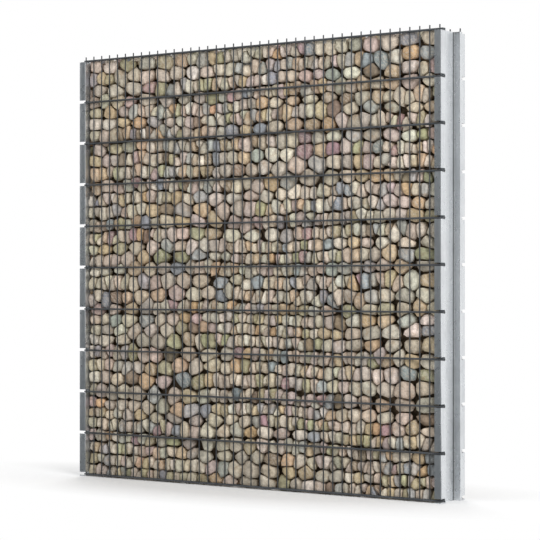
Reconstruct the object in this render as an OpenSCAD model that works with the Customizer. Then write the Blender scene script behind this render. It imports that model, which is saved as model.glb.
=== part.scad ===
// Gabion wall, one bay: two comb-slotted sheet posts, two double-wire mats
// hung in their slots, and the stone fill between them.
// X runs along the wall, the front faces -Y, Z is up.
// The origin is at ground level, in the middle of the bay.

/* [Mesh mats] */
// Mesh cells along a mat
cells_along = 40; // [8:1:48]
// Width of a mesh cell, between centres of the upright wires
cell_w = 50; // [40:1:65]
// Height of a mesh cell, between centres of the level wires
cell_h = 200; // [150:1:260]
// Upright wire diameter
upright_d = 6; // [4:0.5:8]
// Level wire diameter, one wire on each side of the uprights
level_d = 8; // [5:0.5:10]
// How far each weld sinks a level wire into an upright
weld_sink = 0.6; // [0.3:0.1:1]
// Upright tips above the top level wires
tip_h = 20; // [10:1:40]
// Level wires past the outermost uprights, from their centre
level_overhang = 4; // [3:0.5:6]
// Level wires of the front mat past the right post's outer strips
level_stub = 5; // [0:1:20]

/* [Posts] */
// Depth of a post, from its front face to its back face
post_d = 200; // [160:1:260]
// Width of a post along the wall
post_w = 34; // [32:1:50]
// Depth of the outer strip on each side of the post's recess
strip_d = 43; // [38:1:60]
// Sheet thickness
sheet_t = 3; // [2:0.5:5]
// Post below the lowest level wires, from their centre
foot_h = 10; // [9:1:60]
// Post above the top level wires, from their centre
head_h = 2; // [0:1:8]

/* [Comb slots] */
// Height of a slot at its mouth
slot_h = 14; // [12:0.5:20]
// Reach of a slot behind the post's face
slot_d = 30; // [29:0.5:34]
// Drop of a slot's floor behind the wire that it carries
slot_drop = 3; // [0:0.5:4]
// Play between a level wire and the slot's floor
seat_gap = 0.3; // [0.1:0.1:0.5]

/* [Layout] */
// Centre of the uprights behind the post's face
mat_inset = 16; // [14.5:0.5:19]
// Play between the first uprights and the outer strips that they hook behind
hook_gap = 0.5; // [0.3:0.1:2]
// Post spacing beyond the length of the mats' cells
pitch_extra = 10; // [6:1:12]

/* [Stone fill] */
// Play between the fill and the steel round it
fill_gap = 0.3; // [0.2:0.1:1]

/* [Hidden] */

front = -1; // side factor of the front mat
back = 1;   // side factor of the back mat
cells_up = 10; // one stone lift to each row of cells
eps = 1;    // how far a cutter runs past the sheet
upright_sides = 6;
level_sides = 8;

mat_len = cells_along * cell_w;
pitch = mat_len + pitch_extra;
left_x = -(pitch + post_w + level_stub) / 2; // free edge of the left post
right_x = left_x + pitch;                    // free edge of the right post
first_x = left_x + post_w - sheet_t - hook_gap - upright_d / 2;
last_x = first_x + mat_len;

bottom_z = foot_h;
top_z = bottom_z + cells_up * cell_h;
post_h = top_z + head_h;

mat_y = post_d / 2 - mat_inset;                     // uprights, from the middle of the wall
level_off = (level_d + upright_d) / 2 - weld_sink;  // level wires, from the uprights

fill_y = mat_y - upright_d / 2 - fill_gap;          // face of the fill between the levels
// Face of the fill at a level: its bevels of 45 degrees clear the inner level wire
fill_waist_y = mat_y - level_off - (level_d / 2 + fill_gap) * sqrt(2);
recess_y = post_d / 2 - strip_d;                    // side of the post's recess

steel = [0.78, 0.80, 0.81];
anthracite = [0.21, 0.22, 0.23];
stone = [0.68, 0.63, 0.56];

// Height of level wire i, counted from 0 at the bottom
function level_z(i) = bottom_z + i * cell_h;

// ---- posts ---------------------------------------------------------------

// Plan of the folded sheet: flange, outer strip and step, the recessed web, and the same again
module post_plan() {
    half_d = post_d / 2;
    for (side = [front, back]) scale_y(side) {
        translate([0, half_d - sheet_t]) square([post_w, sheet_t]);
        translate([post_w - sheet_t, recess_y]) square([sheet_t, strip_d]);
        translate([0, recess_y]) square([post_w, sheet_t]);
    }
    translate([0, -recess_y - sheet_t]) square([sheet_t, 2 * (recess_y + sheet_t)]);
}

// Turns a shape drawn on the back side to the given side
module scale_y(side) {
    mirror([0, side == front ? 1 : 0, 0]) children();
}

// One slot, open at the post's back face, with a floor that drops behind the carried wire
module slot_cutter() {
    floor_z = -level_d / 2 - seat_gap;
    half_d = post_d / 2;
    carry_y = mat_y + level_off - level_d / 2; // inner side of the outer level wire
    translate([-eps, 0, 0]) rotate([90, 0, 90]) linear_extrude(post_w + 2 * eps)
        polygon([
            [half_d + eps, floor_z], [carry_y, floor_z],
            [half_d - slot_d, floor_z - slot_drop], [half_d - slot_d, floor_z + slot_h],
            [half_d + eps, floor_z + slot_h]]);
}

module post() {
    color(steel) difference() {
        linear_extrude(post_h) post_plan();
        for (i = [0 : cells_up], side = [front, back])
            translate([0, 0, level_z(i)]) scale_y(side) slot_cutter();
    }
}

module post_left() { translate([left_x, 0, 0]) post(); }
module post_right() { translate([right_x, 0, 0]) post(); }

// ---- mats ----------------------------------------------------------------

// A wire of few sides, its flats facing front and back
module upright(z0, z1) {
    translate([0, 0, z0])
        cylinder(h = z1 - z0, d = upright_d / cos(180 / upright_sides), $fn = upright_sides);
}

// Level wire: at the front it stands proud of the right post, at the back it ends inside it
module level(side) {
    start_x = first_x - level_overhang;
    end_x = side == front ? right_x + post_w + level_stub : last_x + level_overhang;
    translate([start_x, 0, 0]) rotate([0, 90, 0]) rotate([0, 0, 180 / level_sides])
        cylinder(h = end_x - start_x, d = level_d / cos(180 / level_sides), $fn = level_sides);
}

// The part of a mat that holds level wires lo to hi, cut from the next one half way up a cell
module mat_part(side, lo, hi) {
    z0 = lo == 0 ? bottom_z - level_d / 2 : level_z(lo) - cell_h / 2;
    z1 = hi == cells_up ? top_z + tip_h : level_z(hi) + cell_h / 2;
    color(anthracite) translate([0, side * mat_y, 0]) union() {
        for (i = [0 : cells_along]) translate([first_x + i * cell_w, 0, 0]) upright(z0, z1);
        for (i = [lo : hi], face = [front, back])
            translate([0, face * level_off, level_z(i)]) level(side);
    }
}

module front_mat_bottom() { mat_part(front, 0, 2); }
module front_mat_lower() { mat_part(front, 3, 5); }
module front_mat_upper() { mat_part(front, 6, 8); }
module front_mat_top() { mat_part(front, 9, cells_up); }
module back_mat_bottom() { mat_part(back, 0, 2); }
module back_mat_lower() { mat_part(back, 3, 5); }
module back_mat_upper() { mat_part(back, 6, 8); }
module back_mat_top() { mat_part(back, 9, cells_up); }

// ---- stone fill ----------------------------------------------------------

// The stones of one row of cells, counted from 0: they bear on the uprights and draw in
// behind the level wires, and those of the bottom row reach the ground
module stone_lift(row) {
    z0 = level_z(row);
    z1 = level_z(row + 1);
    x0 = left_x + post_w + fill_gap;
    x1 = right_x - fill_gap;
    bevel = fill_y - fill_waist_y;
    foot = row == 0 ? [[-fill_waist_y, 0], [fill_waist_y, 0]] : [];
    color(stone) translate([x0, 0, 0]) rotate([90, 0, 90]) linear_extrude(x1 - x0) polygon(concat(
        foot,
        [[fill_waist_y, z0], [fill_y, z0 + bevel], [fill_y, z1 - bevel], [fill_waist_y, z1],
        [-fill_waist_y, z1], [-fill_y, z1 - bevel], [-fill_y, z0 + bevel], [-fill_waist_y, z0]]));
}

module stone_lift_01() { stone_lift(0); }
module stone_lift_02() { stone_lift(1); }
module stone_lift_03() { stone_lift(2); }
module stone_lift_04() { stone_lift(3); }
module stone_lift_05() { stone_lift(4); }
module stone_lift_06() { stone_lift(5); }
module stone_lift_07() { stone_lift(6); }
module stone_lift_08() { stone_lift(7); }
module stone_lift_09() { stone_lift(8); }
module stone_lift_10() { stone_lift(9); }

// The stones in the left post's recess, which lie against those of the lifts
module stone_recess_fill() {
    color(stone) translate([left_x + sheet_t + fill_gap, fill_gap - recess_y, 0])
        cube([post_w - sheet_t, 2 * (recess_y - fill_gap), top_z]);
}

post_left();
post_right();
front_mat_bottom();
front_mat_lower();
front_mat_upper();
front_mat_top();
back_mat_bottom();
back_mat_lower();
back_mat_upper();
back_mat_top();
stone_lift_01();
stone_lift_02();
stone_lift_03();
stone_lift_04();
stone_lift_05();
stone_lift_06();
stone_lift_07();
stone_lift_08();
stone_lift_09();
stone_lift_10();
stone_recess_fill();
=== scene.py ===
"""A gabion wall bay: pebbles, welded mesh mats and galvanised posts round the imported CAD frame."""
import math

import bpy
import numpy as np
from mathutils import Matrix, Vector

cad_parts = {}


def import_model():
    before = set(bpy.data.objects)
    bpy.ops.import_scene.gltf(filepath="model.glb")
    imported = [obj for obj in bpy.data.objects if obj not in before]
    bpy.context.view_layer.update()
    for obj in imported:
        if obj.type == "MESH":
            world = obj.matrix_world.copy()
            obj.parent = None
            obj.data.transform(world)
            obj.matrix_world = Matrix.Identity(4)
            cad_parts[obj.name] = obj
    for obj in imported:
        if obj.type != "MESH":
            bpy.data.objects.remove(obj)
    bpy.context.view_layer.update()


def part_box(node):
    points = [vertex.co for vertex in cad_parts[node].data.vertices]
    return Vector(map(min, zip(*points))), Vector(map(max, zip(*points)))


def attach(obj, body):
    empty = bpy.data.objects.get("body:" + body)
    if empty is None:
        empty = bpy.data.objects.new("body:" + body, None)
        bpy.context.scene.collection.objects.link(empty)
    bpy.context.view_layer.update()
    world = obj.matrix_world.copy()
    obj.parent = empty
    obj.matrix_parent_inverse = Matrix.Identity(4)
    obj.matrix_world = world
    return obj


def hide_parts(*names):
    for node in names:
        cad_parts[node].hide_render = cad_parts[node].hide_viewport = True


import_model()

MM = 0.001
TURN = 6.28               # a full turn, for random phases

# Wires, as the real mats have them
UPRIGHT_R = 3 * MM
LEVEL_R = 4 * MM
WELD_SINK = 0.6 * MM      # how far a level wire is welded into an upright
LEVEL_OVERHANG = 4 * MM   # level wires past the first upright
CELL_W = 50 * MM
CELLS_ALONG = 40
CELLS_UP = 10
UPRIGHT_SIDES = 14
LEVEL_SIDES = 18
WIRE_CHAMFER = 0.6 * MM   # at the cut ends
WELD_SIZE = (3.5 * MM, 1.5 * MM, 3.9 * MM)   # from a weld's middle to its surface, along X, Y and Z
WELD_VARIES = (0.85, 1.15)
WELD_RINGS = np.radians([40, 90, 140])
WELD_SIDES = 10

# Folded posts
SHEET_T = 3 * MM
STRIP_D = 43 * MM         # from a post's face to the step of its recess
BEND_R = 4.5 * MM         # of the middle of the sheet
BEND_STEPS = 6
CUT_BEVEL = 0.35 * MM     # on all cut edges
SLOT_REACH = 30 * MM
SLOT_H = 14 * MM
SLOT_DROP = 3 * MM
SEAT_GAP = 0.3 * MM
SHADE_STRIPE_IN = 6 * MM         # from the recess's corners to the middle of their stripes of painted shade
SHADE_STRIPE_W = 7 * MM          # half the width of a stripe

# Courses of stones
FILL_GAP = 0.3 * MM
COURSE_H = 58 * MM        # mean height of a course
COURSE_VARIES = 0.24      # share by which a course is higher or lower than the mean
STONE_W = (33 * MM, 108 * MM)      # mean widths in the narrowest and the broadest stretches
STONE_W_VARIES = (0.72, 1.30)
NARROW_BIAS = 1.7         # over 1, narrow stretches are longer than broad ones
SWING_H = 9 * MM          # of the long waves in a course
SWING_FADE = 0.25         # metres over which they fade out at the ground and at the top
LIFT_VARIES = 0.10        # of a stone in its course, as a share of the course's height
LAYER_D = 51 * MM         # from the middle of the wall to the middle of a face stone
LAYER_PLAY = 5 * MM       # of a stone's middle, to the front and the back
FACE_PLAY = 4 * MM        # how far a face stone may stay back from the face of the fill
TOP_PLAY = (1 * MM, 6 * MM)        # how far a stone may rise over the top of the fill
TOP_COURSES = 2.1         # courses of middle stones that are modelled at the top
RECESS_ROWS = (-36 * MM, 0, 36 * MM)
RECESS_VARIES = 0.30      # as COURSE_VARIES, in the left post's recess
SEED = 20

# The form and tint of a stone
STONE_GAP = (0.8 * MM, 2.2 * MM)   # from a stone to the plane between it and a neighbour
NEIGHBOURS = 22
SIZE_VARIES = (0.84, 1.16)         # weights by which two neighbours share the way between them
SQUARENESS = (7.0, 16.0)  # 2 is an ellipsoid, and more is a fuller stone
LEAN = 0.13               # how far the planes that bound a stone's face and ends lean
MIN_REACH = 4 * MM        # from a stone's middle to the plane towards a neighbour
MIN_ROOM = 3 * MM         # from a stone's middle to the sides of its box
FLATS = 3                 # broken faces on a stone
FLAT_CUT = (0.86, 1.05)   # how far out they lie, as a share of the stone's radius there
WAVES = 3                 # low waves on a stone's surface
WAVE_H = 0.016            # half of a wave's height, as a share of the stone's radius
WAVE_BENDS = (1.5, 4.5)   # radians of wave from a stone's middle to its surface
RING_ANGLES = np.radians([20, 40, 58, 74, 92, 118, 150])   # a stone's rings of points, from its outer pole
STONE_SIDES = 16
OWN_MOST = 10             # a stone's own three random numbers run from 0 to this
TINT_LEVEL = (0.78, 1.18)          # a stone's brightness, as a share of its tint's
TINT_HUE = (0.95, 1.05)   # the same for each of its three colours
DUST_AND_SHADE = (0.68, 0.49, 0.30)          # what is left of a stone's tint deep in a gap, under dust and painted shade
DUST_AND_SHADE_FROM = 4 * MM        # dust and painted shade start this far out from a stone's middle
DUST_AND_SHADE_FADE = 18 * MM       # and are full this much deeper

# Chippings along the top
CHIP_STEP = 21 * MM
CHIP_ROWS = (-60 * MM, -27 * MM, 27 * MM, 60 * MM)
CHIP_PLAY = (8 * MM, 5 * MM, 3 * MM)
CHIP_DEPTH = 8 * MM       # from the top of the fill to the middle of a chipping
CHIP_R = (8 * MM, 13 * MM)
CHIP_BACK = 1.5 * MM      # from the face of the stones beside a level wire to the nearest chippings
CHIP_RINGS = np.radians([32, 64, 96, 130])
CHIP_SIDES = 9

# The dark inside
CORE_HALF_D = 24 * MM
CORE_END = 4 * MM         # inside the ends and the bottom of the fill
CORE_LID = 30 * MM        # below the top of the fill
CORE_DENTS = 12 * MM
CORE_POINTS = 90          # along and up

# Studio
CAMERA_PLACE = (5.24, -7.06, 0.92)
CAMERA_HEADING = 36.33    # degrees left of square to the wall
CAMERA_LENS = 128
CAMERA_SHIFT_UP = 0.03
WORLD_LEVEL = 0.42        # of the white world as a light
FLOOR_SIZE = 60
FLOOR_DROP = 0.5 * MM     # below the wall, so that no faces coincide
FLOOR_SCALE = (0.5, 1.3)  # of distances along and across the wall, because the shadow is a long patch
FLOOR_FADE = (0.45, 1.0)  # scaled distances where the floor starts to turn white and is all white
CARD_Y = -2.7             # of the dim card that stands in front of the wall
CARD_FOOT_Y = -0.11       # to here it runs on over the floor, towards the wall
CARD_FOOT_Z = 1 * MM      # of the part that lies over the floor
CARD_X = -2.2
CARD_SIZE = (10.0, 7.0)
CARD_COLOUR = (0.078, 0.092, 0.10, 1)

# Frame measures
post_lo, post_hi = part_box("post_left")
mat_lo, mat_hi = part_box("back_mat_top")
post_w = post_hi.x - post_lo.x
half_d = post_hi.y
post_h = post_hi.z
first_x = mat_lo.x + LEVEL_OVERHANG
mat_y = (mat_lo.y + mat_hi.y) / 2
level_off = UPRIGHT_R + LEVEL_R - WELD_SINK
top_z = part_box("stone_lift_10")[1].z
cell_h = (top_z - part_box("stone_lift_01")[1].z) / (CELLS_UP - 1)
bottom_z = top_z - CELLS_UP * cell_h
recess_y = half_d - STRIP_D
behind_wire = mat_y - level_off - LEVEL_R - FILL_GAP   # the fill's face beside a level wire
fill_lo, fill_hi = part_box("stone_lift_05")
recess_lo, recess_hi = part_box("stone_recess_fill")


def level_z(i):
    """Height of level wire i, counted from 0 at the bottom."""
    return bottom_z + i * cell_h


# ---- mesh helpers ----------------------------------------------------------

def mesh_object(name, verts, quads, tris=None, smooth=True):
    """An object from arrays of vertices, quads and triangles."""
    quads = np.asarray(quads, np.int32).reshape(-1, 4)
    tris = np.zeros((0, 3), np.int32) if tris is None else np.asarray(tris, np.int32).reshape(-1, 3)
    mesh = bpy.data.meshes.new(name)
    mesh.vertices.add(len(verts))
    mesh.vertices.foreach_set("co", np.asarray(verts, np.float32).ravel())
    mesh.loops.add(quads.size + tris.size)
    mesh.loops.foreach_set("vertex_index", np.concatenate([quads.ravel(), tris.ravel()]))
    mesh.polygons.add(len(quads) + len(tris))
    starts = np.concatenate([np.arange(len(quads)) * 4, quads.size + np.arange(len(tris)) * 3])
    mesh.polygons.foreach_set("loop_start", starts.astype(np.int32))
    mesh.update(calc_edges=True)
    mesh.validate()
    mesh.polygons.foreach_set("use_smooth", np.full(len(mesh.polygons), smooth))
    obj = bpy.data.objects.new(name, mesh)
    bpy.context.scene.collection.objects.link(obj)
    return obj


class Batch:
    """Vertices and faces of many small closed shapes, which become one mesh."""

    def __init__(self):
        self.verts, self.quads, self.tris, self.count = [], [], [], 0

    def add(self, verts, quads, tris):
        """Shapes of one topology: verts is (shapes, points, 3)."""
        verts = np.asarray(verts, float)
        verts = verts.reshape(-1, verts.shape[-2], 3)
        shift = self.count + np.arange(len(verts))[:, None, None] * verts.shape[1]
        self.verts.append(verts.reshape(-1, 3))
        self.quads.append((np.asarray(quads)[None] + shift).reshape(-1, 4))
        self.tris.append((np.asarray(tris)[None] + shift).reshape(-1, 3))
        self.count += verts.shape[0] * verts.shape[1]

    def build(self, name):
        return mesh_object(name, np.concatenate(self.verts), np.concatenate(self.quads),
                           np.concatenate(self.tris))


def lathe_faces(rings, sides):
    """Faces of a lathed form: rings of points, and a pole at each end (the first and the last point).
    They look outwards where the rings turn left round the line from the last pole to the first."""
    ring = np.arange(sides)
    after = (ring + 1) % sides
    quads = [np.stack([1 + k * sides + ring, 1 + (k + 1) * sides + ring,
                       1 + (k + 1) * sides + after, 1 + k * sides + after], 1)
             for k in range(rings - 1)]
    last = 1 + (rings - 1) * sides
    end = np.full(sides, 1 + rings * sides)
    tris = [np.stack([np.zeros(sides, int), 1 + ring, 1 + after], 1),
            np.stack([end, last + after, last + ring], 1)]
    return np.concatenate(quads), np.concatenate(tris)


def unit(vectors):
    return vectors / np.linalg.norm(vectors, axis=-1, keepdims=True)


def sphere_points(polar, sides):
    """Unit directions with their pole at +Z: both poles, and a ring at each polar angle."""
    polar = np.asarray(polar)[:, None]
    turn = np.arange(sides)[None] * 2 * np.pi / sides
    ring = np.stack([np.sin(polar) * np.cos(turn), np.sin(polar) * np.sin(turn),
                     np.cos(polar) + 0 * turn], -1).reshape(-1, 3)
    return np.concatenate([[[0, 0, 1]], ring, [[0, 0, -1]]])


# ---- materials -------------------------------------------------------------

class Nodes:
    """A material's node tree, with short calls for the nodes that are used here."""

    def __init__(self, name):
        self.material = bpy.data.materials.new(name)
        self.material.use_nodes = True
        self.tree = self.material.node_tree
        self.shader = self.tree.nodes["Principled BSDF"]
        self.place = self.new("ShaderNodeTexCoord").outputs["Object"]

    def new(self, kind, **settings):
        node = self.tree.nodes.new(kind)
        for key, value in settings.items():
            setattr(node, key, value)
        return node

    def link(self, value, socket):
        """Gives a socket a number or colour, or the output of another node."""
        if isinstance(value, (int, float, tuple)):
            socket.default_value = value
        else:
            self.tree.links.new(value, socket)

    def noise(self, scale, detail=3.0, roughness=0.55, at=None):
        """Noise of about this many patches a metre."""
        node = self.new("ShaderNodeTexNoise")
        self.link(at or self.place, node.inputs["Vector"])
        node.inputs["Scale"].default_value = scale
        node.inputs["Detail"].default_value = detail
        node.inputs["Roughness"].default_value = roughness
        return node.outputs["Fac"]

    def cells(self, scale, at=None):
        """Crystals or pits, about this many a metre."""
        node = self.new("ShaderNodeTexVoronoi")
        self.link(at or self.place, node.inputs["Vector"])
        node.inputs["Scale"].default_value = scale
        return node

    def ramp(self, value, low, high, to_low=0.0, to_high=1.0):
        """A value's stretch from low to high, mapped to to_low to to_high and level past both ends."""
        node = self.new("ShaderNodeMapRange", clamp=True)
        self.link(value, node.inputs["Value"])
        for key, number in (("From Min", low), ("From Max", high), ("To Min", to_low), ("To Max", to_high)):
            node.inputs[key].default_value = number
        return node.outputs["Result"]

    def math(self, operation, a, b=0.0):
        node = self.new("ShaderNodeMath", operation=operation)
        self.link(a, node.inputs[0])
        self.link(b, node.inputs[1])
        return node.outputs[0]

    def mix(self, factor, a, b, blend="MIX"):
        """A blend of two colours, which are the node's inputs 6 and 7, and its output 2."""
        node = self.new("ShaderNodeMix", data_type="RGBA", blend_type=blend)
        self.link(factor, node.inputs["Factor"])
        self.link(a, node.inputs[6])
        self.link(b, node.inputs[7])
        return node.outputs[2]

    def split(self, vector):
        """The X, Y and Z of a vector."""
        node = self.new("ShaderNodeSeparateXYZ")
        self.link(vector, node.inputs[0])
        return node.outputs

    def stretch(self, x, y, z):
        """The place, scaled along each axis."""
        node = self.new("ShaderNodeMapping")
        self.link(self.place, node.inputs["Vector"])
        node.inputs["Scale"].default_value = (x, y, z)
        return node.outputs["Vector"]

    def bump(self, height, distance, strength, normal=None):
        node = self.new("ShaderNodeBump")
        node.inputs["Strength"].default_value = strength
        node.inputs["Distance"].default_value = distance
        self.link(height, node.inputs["Height"])
        if normal is not None:
            self.link(normal, node.inputs["Normal"])
        return node.outputs["Normal"]

    def finish(self, colour, roughness, normal, metallic=0.0):
        self.link(colour, self.shader.inputs["Base Color"])
        self.link(roughness, self.shader.inputs["Roughness"])
        self.link(normal, self.shader.inputs["Normal"])
        self.shader.inputs["Metallic"].default_value = metallic
        return self.material


def powder_coat():
    """Satin anthracite powder coat, with its fine orange peel and a little dust."""
    n = Nodes("anthracite_powder_coat")
    tone = n.ramp(n.noise(9, 3), 0.35, 0.65)
    colour = n.mix(tone, (0.042, 0.046, 0.051, 1), (0.062, 0.067, 0.073, 1))
    dust = n.ramp(n.noise(60, 4), 0.58, 0.75, 0.0, 0.35)
    colour = n.mix(dust, colour, (0.13, 0.12, 0.105, 1))
    peel = n.bump(n.noise(1400, 2), 0.15 * MM, 0.5)
    return n.finish(colour, n.ramp(n.noise(200, 2), 0.3, 0.7, 0.38, 0.52), peel)


def galvanised():
    """Hot-dip zinc on folded sheet: spangle, faint runs down the sheet and dull patches."""
    n = Nodes("galvanised_sheet")
    spangle = n.cells(95, n.stretch(1, 1, 0.75))
    split = n.new("ShaderNodeSeparateColor")
    n.link(spangle.outputs["Color"], split.inputs["Color"])
    crystal = split.outputs["Red"]
    runs = n.noise(14, 4, 0.6, n.stretch(3, 3, 0.22))
    colour = n.mix(n.ramp(runs, 0.3, 0.7), (0.62, 0.645, 0.67, 1), (0.76, 0.78, 0.795, 1))
    colour = n.mix(n.ramp(crystal, 0, 1, 0.0, 0.30), colour, (0.85, 0.87, 0.89, 1))
    dull = n.ramp(n.noise(5, 5, 0.65), 0.52, 0.70, 0.0, 0.45)
    colour = n.mix(dull, colour, (0.56, 0.575, 0.59, 1))
    # painted shade: a dark stripe down the recess web, near each of its corners, where the inside corner
    # lies in shade
    off_centre = n.math("ABSOLUTE", n.split(n.place)["Y"])
    off_stripe = n.math("ABSOLUTE", n.math("SUBTRACT", off_centre, recess_y - SHADE_STRIPE_IN))
    facing = n.split(n.new("ShaderNodeNewGeometry").outputs["Normal"])["X"]
    painted_shade = n.math("MULTIPLY", n.ramp(off_stripe, SHADE_STRIPE_W, 0.5 * SHADE_STRIPE_W, 0.0, 0.9),
                   n.ramp(facing, 0.5, 0.9))
    colour = n.mix(painted_shade, colour, (0.10, 0.107, 0.112, 1))
    rough = n.math("ADD", n.ramp(crystal, 0, 1, 0.26, 0.38), n.ramp(dull, 0, 0.45, 0.0, 0.14))
    relief = n.bump(n.noise(900, 2), 0.08 * MM, 0.35)
    relief = n.bump(runs, 0.6 * MM, 0.35, relief)
    return n.finish(colour, rough, relief, metallic=0.88)


def pebble():
    """Dry quarry pebbles: each has its own tint, with mottling, pits and some bands and rust."""
    n = Nodes("pebbles")
    tint = n.new("ShaderNodeAttribute", attribute_name="tint").outputs["Color"]
    own = n.new("ShaderNodeAttribute", attribute_name="own").outputs["Vector"]
    # each stone is cut from a place of its own in the patterns
    shift = n.new("ShaderNodeVectorMath", operation="ADD")
    n.link(n.place, shift.inputs[0])
    n.link(own, shift.inputs[1])
    at = shift.outputs[0]
    chance = n.split(own)      # each from 0 to OWN_MOST: how much a stone has of bands and of rust
    mottle = n.ramp(n.noise(52, 5, 0.62, at), 0.30, 0.70, 0.66, 1.28)
    speck = n.ramp(n.noise(330, 2, 0.6, at), 0.30, 0.70, 0.80, 1.18)
    colour = n.mix(1.0, tint, n.math("MULTIPLY", mottle, speck), "MULTIPLY")
    banding = n.new("ShaderNodeTexWave", wave_type="BANDS", bands_direction="DIAGONAL")
    n.link(at, banding.inputs["Vector"])
    banding.inputs["Scale"].default_value = 26
    banding.inputs["Distortion"].default_value = 9
    banding.inputs["Detail"].default_value = 3
    banding.inputs["Detail Scale"].default_value = 2.2
    banded = n.math("MULTIPLY", n.ramp(banding.outputs["Fac"], 0.62, 0.9),
                    n.ramp(chance["X"], 4.0, 6.0, 0.0, 0.45))
    colour = n.mix(banded, colour, (0.56, 0.50, 0.42, 1))
    rust = n.math("MULTIPLY", n.ramp(n.noise(30, 3, 0.6, at), 0.52, 0.72),
                  n.ramp(chance["Y"], 3.0, 8.0, 0.1, 0.55))
    colour = n.mix(rust, colour, (0.33, 0.205, 0.105, 1))
    pits = n.ramp(n.cells(260, at).outputs["Distance"], 0.0, 0.32)
    rough_skin = n.noise(150, 5, 0.62, at)
    relief = n.bump(n.noise(55, 4, 0.55, at), 6 * MM, 0.6)
    relief = n.bump(rough_skin, 2.4 * MM, 0.8, relief)
    relief = n.bump(pits, 0.8 * MM, 0.5, relief)
    return n.finish(colour, n.ramp(rough_skin, 0.3, 0.7, 0.66, 0.88), relief)


def rubble_dark():
    """The small stones and dust deep between the face stones, with their shade painted into a dark brown
    colour.
    """
    n = Nodes("rubble_core")
    tone = n.ramp(n.noise(60, 4), 0.35, 0.65)
    colour = n.mix(tone, (0.055, 0.038, 0.022, 1), (0.15, 0.108, 0.068, 1))
    return n.finish(colour, 0.95, n.bump(n.noise(90, 4), 6 * MM, 0.8))


# ---- mats ------------------------------------------------------------------

def tubes(starts, axis, length, radius, sides):
    """Round wires along an axis (0 x, 2 z) with slightly rounded ends: the points and faces for a Batch."""
    across = [a for a in range(3) if a != axis]
    turn = -np.arange(sides) * 2 * np.pi / sides
    rows = [(0, 0.0), (0, radius - WIRE_CHAMFER), (WIRE_CHAMFER, radius),
            (length - WIRE_CHAMFER, radius), (length, radius - WIRE_CHAMFER), (length, 0.0)]
    points = []
    for along, r in rows:
        ring = np.zeros((sides if r else 1, 3))
        ring[:, axis] = along
        if r:
            ring[:, across[0]] = r * np.cos(turn)
            ring[:, across[1]] = r * np.sin(turn)
        points.append(ring)
    return np.concatenate(points) + np.array(starts)[:, None], *lathe_faces(len(rows) - 2, sides)


def mat(name, side):
    """One double-wire mat: uprights, a level wire on both sides of them, and the weld at each crossing."""
    low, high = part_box(name + "_top")
    y = side * mat_y
    foot_z = bottom_z - LEVEL_R
    upright_x = first_x + np.arange(CELLS_ALONG + 1) * CELL_W
    crossings = [(i, face) for i in range(CELLS_UP + 1) for face in (-1, 1)]
    batch = Batch()
    uprights = [(x, y, foot_z) for x in upright_x]
    batch.add(*tubes(uprights, 2, high.z - foot_z, UPRIGHT_R, UPRIGHT_SIDES))
    levels = [(low.x, y + face * level_off, level_z(i)) for i, face in crossings]
    batch.add(*tubes(levels, 0, high.x - low.x, LEVEL_R, LEVEL_SIDES))
    # a weld bulges a little out of the seam between the two wires
    seam = UPRIGHT_R - WELD_SINK / 2
    welds = np.array([(x, y + face * seam, level_z(i)) for x in upright_x for i, face in crossings])
    size = np.random.default_rng(SEED + 1).uniform(*WELD_VARIES, (len(welds), 1, 3))
    ball = sphere_points(WELD_RINGS, WELD_SIDES) * WELD_SIZE
    batch.add(ball * size + welds[:, None], *lathe_faces(len(WELD_RINGS), WELD_SIDES))
    obj = batch.build(name)
    obj.data.materials.append(COAT)
    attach(obj, "root")
    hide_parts(*[f"{name}_{part}" for part in ("bottom", "lower", "upper", "top")])


# ---- posts -----------------------------------------------------------------

def post_path():
    """Points along the middle of the sheet in plan, from the front flange to the back, and normals."""
    outer, inner = half_d - SHEET_T / 2, recess_y + SHEET_T / 2
    web, step = SHEET_T / 2, post_w - SHEET_T / 2
    corners = np.array([(0, -outer), (step, -outer), (step, -inner), (web, -inner),
                        (web, inner), (step, inner), (step, outer), (0, outer)])
    points, tangents = [corners[0]], [unit(corners[1] - corners[0])]
    for before, at, after in zip(corners, corners[1:], corners[2:]):
        old, new = unit(at - before), unit(after - at)      # headings before and after the bend
        centre = at - old * BEND_R + new * BEND_R
        for k in range(BEND_STEPS + 1):
            angle = k / BEND_STEPS * math.pi / 2
            points.append(centre - new * BEND_R * math.cos(angle) + old * BEND_R * math.sin(angle))
            tangents.append(old * math.cos(angle) + new * math.sin(angle))
    points.append(corners[-1])
    tangents.append(tangents[-1])
    tangents = np.array(tangents)
    return np.array(points), np.stack([tangents[:, 1], -tangents[:, 0]], 1)


def split_path(points, normals, depths):
    """Adds a point wherever the path passes one of the depths, on both sides of the post."""
    out_points, out_normals = [points[0]], [normals[0]]
    for p, q, p_normal, q_normal in zip(points, points[1:], normals, normals[1:]):
        shares = []
        for depth in depths:
            before, after = abs(p[1]) - (half_d - depth), abs(q[1]) - (half_d - depth)
            if before * after < 0:
                shares.append(before / (before - after))
        for share in sorted(shares):
            out_points.append(p + share * (q - p))
            out_normals.append(p_normal + share * (q_normal - p_normal))
        out_points.append(q)
        out_normals.append(q_normal)
    return np.array(out_points), np.array(out_normals)


def sheet_quads(solid):
    """Faces of a sheet that has only the solid cells: its two sides, and the cut edges between them.
    Its points are numbered by side, row and column."""
    rows, cols = solid.shape[0] + 1, solid.shape[1] + 1

    def at(side, r, c):
        return (side * rows + r) * cols + c

    quads = []
    padded = np.pad(solid, 1)
    for r, c in np.argwhere(solid):
        corners = [(r, c), (r, c + 1), (r + 1, c + 1), (r + 1, c)]
        beyond = [(r - 1, c), (r, c + 1), (r + 1, c), (r, c - 1)]
        quads.append([at(1, *p) for p in corners])
        quads.append([at(0, *p) for p in reversed(corners)])
        for p, q, (i, j) in zip(corners, corners[1:] + corners[:1], beyond):
            if not padded[i + 1, j + 1]:
                quads.append([at(1, *q), at(1, *p), at(0, *p), at(0, *q)])
    return np.array(quads)


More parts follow.
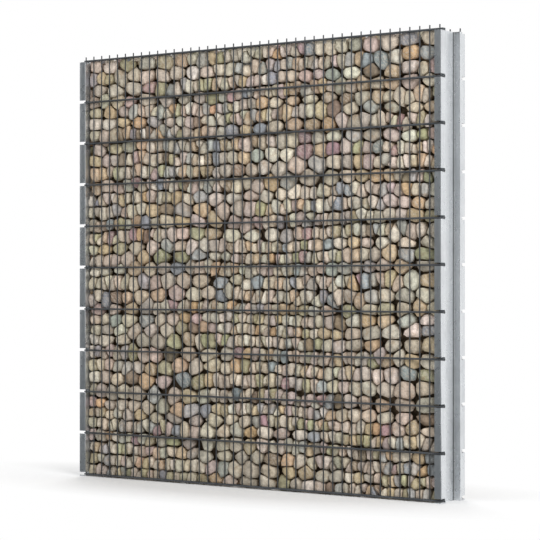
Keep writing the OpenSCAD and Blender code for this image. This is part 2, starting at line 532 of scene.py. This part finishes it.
def post(name, node):
    """The folded sheet of a post, with its comb slots and bevelled cut edges."""
    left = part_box(node)[0].x
    carry = half_d - (mat_y + level_off - LEVEL_R)      # where a slot's floor starts to drop
    points, normals = split_path(*post_path(), (carry, SLOT_REACH))
    depth = half_d - np.abs(points[:, 1])
    drop = SLOT_DROP * np.clip((depth - carry) / (SLOT_REACH - carry), 0, 1)
    seat = -LEVEL_R - SEAT_GAP
    # rows of points: the foot, and the floor and the top of each slot
    heights = [np.zeros(len(points))]
    for i in range(CELLS_UP + 1):
        heights += [level_z(i) + seat - drop, np.full(len(points), level_z(i) + seat + SLOT_H)]
    heights[-1] = np.full(len(points), post_h)          # the top slot is open upwards
    z = np.array(heights)
    # cells between the points: every second row is a row of slots
    solid = np.ones((len(z) - 1, len(points) - 1), bool)
    solid[1::2] = (depth[:-1] + depth[1:]) / 2 >= SLOT_REACH
    sides = []
    for face in (-1, 1):
        plan = points + normals * face * SHEET_T / 2
        sides.append(np.stack([np.broadcast_to(left + plan[:, 0], z.shape),
                               np.broadcast_to(plan[:, 1], z.shape), z], -1))
    verts = np.array(sides).reshape(-1, 3)
    quads = sheet_quads(solid)
    used, renumbered = np.unique(quads, return_inverse=True)
    obj = mesh_object(name, verts[used], renumbered.reshape(quads.shape), smooth=False)
    bevel = obj.modifiers.new("edges", "BEVEL")
    bevel.width = CUT_BEVEL
    bevel.segments = 2
    bevel.limit_method = "ANGLE"
    bevel.angle_limit = math.radians(40)
    apply_modifiers(obj)
    obj.data.polygons.foreach_set("use_smooth", np.ones(len(obj.data.polygons), bool))
    obj.data.set_sharp_from_angle(angle=math.radians(30))
    obj.data.materials.append(ZINC)
    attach(obj, "root")
    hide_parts(node)


def apply_modifiers(obj):
    """Makes the evaluated mesh the object's own."""
    graph = bpy.context.evaluated_depsgraph_get()
    mesh = bpy.data.meshes.new_from_object(obj.evaluated_get(graph))
    obj.modifiers.clear()
    obj.data = mesh


# ---- where the stones lie --------------------------------------------------

FRONT, BACK, MIDDLE, RECESS = range(4)      # kinds of stones: the first two are face stones


def courses(rng, varies):
    """The bottom and the top of each of the uneven courses from the ground to the top level wires."""
    steps = rng.uniform(1 - varies, 1 + varies, round(top_z / COURSE_H))
    bounds = np.concatenate([[0], np.cumsum(steps)]) / steps.sum() * top_z
    return list(zip(bounds, bounds[1:]))


def stone_width(x, z, phase):
    """Mean width of the stones here: stretches of narrow ones take turns with stretches of broad ones."""
    # the sine's turns are in radians a metre, and shift from course to course
    patch = 0.5 + 0.5 * math.sin(4.2 * x + 3.1 * math.sin(2.3 * z) + 0.4 * phase)
    narrow, broad = STONE_W
    return narrow + (broad - narrow) * patch ** NARROW_BIAS


def swing(x, low, high):
    """How far a course runs up or down here, in long waves that fade out at the ground and the top."""
    fade = min(1, low / SWING_FADE, (top_z - high) / SWING_FADE)
    return SWING_H * math.sin(5.3 * x + 3.7 * low) * fade


def layer(rng, depth):
    """Centres of the stones of one upright layer, in uneven courses: (x, depth, z) of each."""
    left, right = fill_lo.x, fill_hi.x
    centres = []
    for low, high in courses(rng, COURSE_VARIES):
        x, row = left, []
        phase = rng.uniform(0, TURN)
        while x < right:
            step = stone_width(x, low, phase) * rng.uniform(*STONE_W_VARIES)
            row.append(x + step / 2)
            x += step
        for centre in left + (np.array(row) - left) * (right - left) / (x - left):
            lift = rng.normal(0, LIFT_VARIES) * (high - low)
            y = depth + rng.uniform(-LAYER_PLAY, LAYER_PLAY)
            centres.append((centre, y, (low + high) / 2 + lift + swing(centre, low, high)))
    return centres


def recess_centres(rng):
    """Centres of the stones in the left post's recess, in upright rows."""
    x = (recess_lo.x + recess_hi.x) / 2
    return [(x, y, (low + high) / 2) for y in RECESS_ROWS for low, high in courses(rng, RECESS_VARIES)]


def stone_boxes(kind, rng):
    """The lowest and the highest corner of the box that each stone has to stay in."""
    recess = kind == RECESS
    play = rng.uniform(0, FACE_PLAY, len(kind)) * (kind < MIDDLE)
    depth = np.where(recess, recess_hi.y, fill_hi.y) - play
    top = top_z + rng.uniform(*TOP_PLAY, len(kind))
    low = np.stack([np.where(recess, recess_lo.x, fill_lo.x), -depth, np.zeros(len(kind))], 1)
    high = np.stack([np.where(recess, recess_hi.x, fill_hi.x), depth, top], 1)
    return low, high


def meets_level_wire(points):
    """For each stone, whether it reaches out to a level wire at that wire's height."""
    over = np.abs(points[..., 1]) > behind_wire
    level = (points[..., 2] - bottom_z) / cell_h
    beside = np.abs(level - np.round(level)) * cell_h < LEVEL_R + FILL_GAP
    return (over & beside).any(axis=1)


# ---- stones ----------------------------------------------------------------

# Tints of the stones and how often each comes: linear colours
TINTS = np.array([
    # red, green, blue, share
    (0.56, 0.48, 0.38, 27),    # beige
    (0.49, 0.44, 0.36, 20),    # grey beige
    (0.65, 0.59, 0.49, 12),    # cream
    (0.54, 0.42, 0.28, 11),    # tan
    (0.58, 0.40, 0.24, 3),     # orange tan
    (0.52, 0.42, 0.37, 6),     # pinkish
    (0.40, 0.27, 0.27, 2),     # mauve
    (0.42, 0.39, 0.25, 6),     # olive
    (0.31, 0.33, 0.34, 4),     # blue grey
    (0.42, 0.41, 0.38, 6),     # grey
    (0.27, 0.21, 0.15, 3)])    # brown


def random_tints(rng, count):
    """A tint for each stone, near one of TINTS."""
    shares = TINTS[:, 3] / TINTS[:, 3].sum()
    tint = TINTS[rng.choice(len(TINTS), count, p=shares), :3]
    return tint * rng.uniform(*TINT_LEVEL, (count, 1)) * rng.uniform(*TINT_HUE, (count, 3))


def rounded(directions, normals, offsets, power):
    """How far each direction reaches inside a rounded body bounded by planes: (bodies, directions)."""
    # a plane that a direction runs away from doesn't bound it
    near = np.maximum(directions @ normals.transpose(0, 2, 1), 1e-6) / offsets[:, None]
    return (near ** power[:, None, None]).sum(-1) ** (-1 / power[:, None])


def stones(centres, low, high, directions, rng):
    """Closed pebbles round the centres, packed against each other, each in its own box from low to high."""
    count = len(centres)
    weight = rng.uniform(*SIZE_VARIES, count)
    apart = np.linalg.norm(centres[:, None] - centres[None], axis=2)
    np.fill_diagonal(apart, np.inf)
    close = np.argsort(apart, axis=1)[:, :NEIGHBOURS]
    towards = centres[close] - centres[:, None]
    span = np.linalg.norm(towards, axis=2)
    share = weight[:, None] / (weight[:, None] + weight[close])
    offsets = np.maximum(span * share - rng.uniform(*STONE_GAP, (count, 1)), MIN_REACH)
    # the box's sides lean a little, differently on each stone
    sides = unit(np.concatenate([np.eye(3), -np.eye(3)]) + rng.normal(0, LEAN, (count, 6, 3)))
    room = np.maximum(np.concatenate([high - centres, centres - low], axis=1), MIN_ROOM)
    normals = np.concatenate([unit(towards), sides], axis=1)
    offsets = np.concatenate([offsets, room], axis=1)
    power = rng.uniform(*SQUARENESS, count)
    # a few flats where the stone once broke
    flats = unit(rng.normal(0, 1, (count, FLATS, 3)))
    reach = rounded(flats, normals, offsets, power) * rng.uniform(*FLAT_CUT, (count, FLATS))
    normals = np.concatenate([normals, flats], axis=1)
    offsets = np.concatenate([offsets, reach], axis=1)
    radius = rounded(directions, normals, offsets, power)
    # low waves keep a pebble from looking machined
    for _ in range(WAVES):
        axis = unit(rng.normal(0, 1, (count, 3)))[..., None]
        bend = (directions @ axis)[..., 0] * rng.uniform(*WAVE_BENDS, (count, 1))
        radius = radius * (1 - WAVE_H * (1 + np.sin(bend + rng.uniform(0, TURN, (count, 1)))))
    points = centres[:, None] + radius[..., None] * directions
    return np.clip(points, low[:, None], high[:, None])


def stone_directions(kind):
    """Directions from each stone's middle to its points: the outer pole is at the wall's face or on top."""
    upright = sphere_points(RING_ANGLES, STONE_SIDES)
    to_back = upright[:, [0, 2, 1]]
    turned = {FRONT: to_back * (1, -1, 1), BACK: to_back * (1, 1, -1), MIDDLE: upright, RECESS: upright}
    return np.array([turned[k] for k in kind])


def fill():
    """All the stones that show: both face layers, the middle layer's top and bottom, and the recess."""
    rng = np.random.default_rng(SEED)
    groups = [layer(rng, -LAYER_D), layer(rng, LAYER_D), layer(rng, 0), recess_centres(rng)]
    kind = np.repeat([FRONT, BACK, MIDDLE, RECESS], [len(group) for group in groups])
    centres = np.concatenate(groups)
    low, high = stone_boxes(kind, rng)
    directions = stone_directions(kind)
    state = rng.bit_generator.state
    # a stone that would bulge into a level wire is made again, the same but behind it
    held = meets_level_wire(stones(centres, low, high, directions, rng))
    low[held, 1], high[held, 1] = -behind_wire, behind_wire
    rng.bit_generator.state = state
    points = stones(centres, low, high, directions, rng)

    tint = random_tints(rng, len(kind))[:, None]
    # dust, and painted shade, darken a stone's tint where it turns away from the face, and towards the
    # bottom of a middle or recess stone
    height = centres[:, 2]
    outward = np.where(kind[:, None] < MIDDLE, np.abs(points[..., 1]) - LAYER_D,
                       points[..., 2] - height[:, None])
    deep = np.clip((DUST_AND_SHADE_FROM - outward) / DUST_AND_SHADE_FADE, 0, 1)[..., None]
    tints = tint * (1 - deep) + tint * np.array(DUST_AND_SHADE) * deep

    cell_row = np.clip(((height - bottom_z) // cell_h).astype(int), 0, CELLS_UP - 1)
    ends = (height > top_z - TOP_COURSES * COURSE_H) | (height < COURSE_H)
    shown = (kind < MIDDLE) | (kind == MIDDLE) & ends
    faces = lathe_faces(len(RING_ANGLES), STONE_SIDES)
    for row in range(CELLS_UP):
        mine = shown & (cell_row == row)
        number = f"{row + 1:02d}"
        stone_object("stones_" + number, points[mine], tints[mine], faces, rng, "stone_lift_" + number)
    mine = kind == RECESS
    stone_object("recess_stones", points[mine], tints[mine], faces, rng, "stone_recess_fill")
    chippings(rng)


def stone_object(name, points, tints, faces, rng, node=None):
    """One mesh of closed stones: points are (stones, points, 3), and tints a colour for each point."""
    batch = Batch()
    batch.add(points, *faces)
    obj = batch.build(name)
    count, size = points.shape[:2]
    colour = np.concatenate([tints, np.ones((count, size, 1))], axis=2)
    obj.data.color_attributes.new("tint", "FLOAT_COLOR", "POINT").data.foreach_set("color", colour.ravel())
    own = np.repeat(rng.uniform(0, OWN_MOST, (count, 3)), size, axis=0)
    obj.data.attributes.new("own", "FLOAT_VECTOR", "POINT").data.foreach_set("vector", own.ravel())
    obj.data.materials.append(PEBBLE)
    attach(obj, "root")
    if node:
        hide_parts(node)


def chippings(rng):
    """Small stones in the notches between the stones of the top course."""
    along = np.arange(fill_lo.x + CHIP_STEP, fill_hi.x - CHIP_STEP / 2, CHIP_STEP)
    centres = np.array([(x, y, top_z - CHIP_DEPTH) for x in along for y in CHIP_ROWS])
    centres += rng.uniform(-1, 1, centres.shape) * CHIP_PLAY
    radii = rng.uniform(*CHIP_R, (len(centres), 1, 3))
    points = centres[:, None] + sphere_points(CHIP_RINGS, CHIP_SIDES) * radii
    reach = behind_wire - CHIP_BACK
    points[..., 1] = np.clip(points[..., 1], -reach, reach)
    tints = np.repeat(random_tints(rng, len(centres))[:, None], points.shape[1], axis=1)
    stone_object("top_chippings", points, tints, lathe_faces(len(CHIP_RINGS), CHIP_SIDES), rng)


def core():
    """The rubble between the face layers, which shows only as dark gaps: a slab with dented faces."""
    x = np.linspace(fill_lo.x + CORE_END, fill_hi.x - CORE_END, CORE_POINTS)
    z = np.linspace(CORE_END, top_z - CORE_LID, CORE_POINTS)
    x, z = np.meshgrid(x, z)
    rng = np.random.default_rng(SEED + 2)
    sheets = []
    for side in (-1, 1):
        sheets.append(np.stack([x, side * (CORE_HALF_D - rng.uniform(0, CORE_DENTS, x.shape)), z], -1))
    index = np.arange(2 * x.size).reshape(2, CORE_POINTS, CORE_POINTS)
    front, back = index
    front = np.stack([front[:-1, :-1], front[:-1, 1:], front[1:, 1:], front[1:, :-1]], -1).reshape(-1, 4)
    back = np.stack([back[:-1, :-1], back[1:, :-1], back[1:, 1:], back[:-1, 1:]], -1).reshape(-1, 4)
    rim = np.concatenate([index[:, 0, :], index[:, :, -1][:, 1:], index[:, -1, ::-1][:, 1:],
                          index[:, ::-1, 0][:, 1:]], axis=1)
    belt = np.stack([rim[0, 1:], rim[0, :-1], rim[1, :-1], rim[1, 1:]], -1)
    obj = mesh_object("rubble_core", np.reshape(sheets, (-1, 3)), np.concatenate([front, back, belt]))
    obj.data.materials.append(rubble_dark())
    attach(obj, "root")


# ---- studio ----------------------------------------------------------------

def seen_directly(tree):
    """1 for camera, glossy and transmission rays, else 0."""
    path = tree.nodes.new("ShaderNodeLightPath")
    total = path.outputs["Is Camera Ray"]
    for name in ("Is Glossy Ray", "Is Transmission Ray"):
        either = tree.nodes.new("ShaderNodeMath")
        either.operation = "MAXIMUM"
        tree.links.new(total, either.inputs[0])
        tree.links.new(path.outputs[name], either.inputs[1])
        total = either.outputs[0]
    return total


def world():
    """A white world, which shows as full white and lights the object with less."""
    scene = bpy.context.scene
    scene.world = bpy.data.worlds.new("studio")
    scene.world.use_nodes = True
    tree = scene.world.node_tree
    shader = tree.nodes["Background"]
    shader.inputs["Color"].default_value = (1, 1, 1, 1)
    level = tree.nodes.new("ShaderNodeMapRange")
    level.inputs["To Min"].default_value = WORLD_LEVEL
    level.inputs["To Max"].default_value = 1.0
    tree.links.new(seen_directly(tree), level.inputs["Value"])
    tree.links.new(level.outputs["Result"], shader.inputs["Strength"])


def floor():
    """A white floor that keeps the soft shadow near the wall and fades into the white round it."""
    bpy.ops.mesh.primitive_plane_add(size=FLOOR_SIZE, location=(0, 0, -FLOOR_DROP))
    obj = bpy.context.active_object
    obj.name = "floor"
    n = Nodes("floor_white")
    tree = n.tree
    paint = n.shader
    paint.inputs["Base Color"].default_value = (0.95, 0.95, 0.95, 1)
    paint.inputs["Roughness"].default_value = 0.9
    paint.inputs["Specular IOR Level"].default_value = 0.0
    glow = n.new("ShaderNodeEmission")
    glow.inputs["Color"].default_value = (1, 1, 1, 1)
    glow.inputs["Strength"].default_value = 1.0
    away = n.new("ShaderNodeVectorMath", operation="LENGTH")
    n.link(n.stretch(*FLOOR_SCALE, 0), away.inputs[0])
    far = n.ramp(away.outputs["Value"], *FLOOR_FADE)
    share = n.math("MULTIPLY", seen_directly(tree), far)
    blend = n.new("ShaderNodeMixShader")
    tree.links.new(share, blend.inputs[0])
    tree.links.new(paint.outputs[0], blend.inputs[1])
    tree.links.new(glow.outputs[0], blend.inputs[2])
    tree.links.new(blend.outputs[0], tree.nodes["Material Output"].inputs["Surface"])
    obj.data.materials.append(n.material)


def card():
    """A dim card in front of the wall and on the floor before it, which only metal and gloss reflect."""
    width, height = CARD_SIZE
    profile = ((CARD_FOOT_Y, CARD_FOOT_Z), (CARD_Y, CARD_FOOT_Z), (CARD_Y, height))
    verts = [(x, y, z) for y, z in profile for x in (CARD_X - width / 2, CARD_X + width / 2)]
    obj = mesh_object("dim_card", verts, [(0, 1, 3, 2), (2, 3, 5, 4)], smooth=False)
    for kind in ("camera", "diffuse", "transmission", "volume_scatter", "shadow"):
        setattr(obj, "visible_" + kind, False)
    n = Nodes("dim_card")
    glow = n.new("ShaderNodeEmission")
    glow.inputs["Color"].default_value = CARD_COLOUR
    n.link(glow.outputs[0], n.tree.nodes["Material Output"].inputs["Surface"])
    obj.data.materials.append(n.material)


def lamp(name, place, size, level):
    """A square soft lamp; level is how bright it makes a white surface that faces it.
    Metal and gloss show the white studio and not the lamps."""
    aim = Vector((0, 0, top_z / 2)) - Vector(place)
    light = bpy.data.lights.new(name, "AREA")
    light.shape = "SQUARE"
    light.size = size
    light.energy = level * math.pi ** 2 * aim.length_squared
    obj = bpy.data.objects.new(name, light)
    obj.location = place
    obj.rotation_euler = aim.to_track_quat("-Z", "Y").to_euler()
    obj.visible_glossy = False
    bpy.context.scene.collection.objects.link(obj)


def camera():
    """Level, a little under the wall's middle, and looking at its front from the right."""
    data = bpy.data.cameras.new("camera")
    data.lens = CAMERA_LENS
    data.shift_y = CAMERA_SHIFT_UP
    obj = bpy.data.objects.new("camera", data)
    obj.location = CAMERA_PLACE
    obj.rotation_euler = (math.radians(90), 0, math.radians(CAMERA_HEADING))
    bpy.context.scene.collection.objects.link(obj)
    bpy.context.scene.camera = obj


COAT = powder_coat()
ZINC = galvanised()
PEBBLE = pebble()

camera()
world()
floor()
card()
lamp("key", place=(6.2, -3.6, 4.2), size=3.0, level=0.72)
lamp("front_fill", place=(-2.5, -7.0, 3.0), size=4.0, level=0.27)
lamp("back_fill", place=(-4.5, 6.0, 4.0), size=4.0, level=0.55)

post("left_post", "post_left")
post("right_post", "post_right")
mat("front_mat", -1)
mat("back_mat", 1)
fill()
core()

bpy.context.scene.view_settings.view_transform = "Standard"
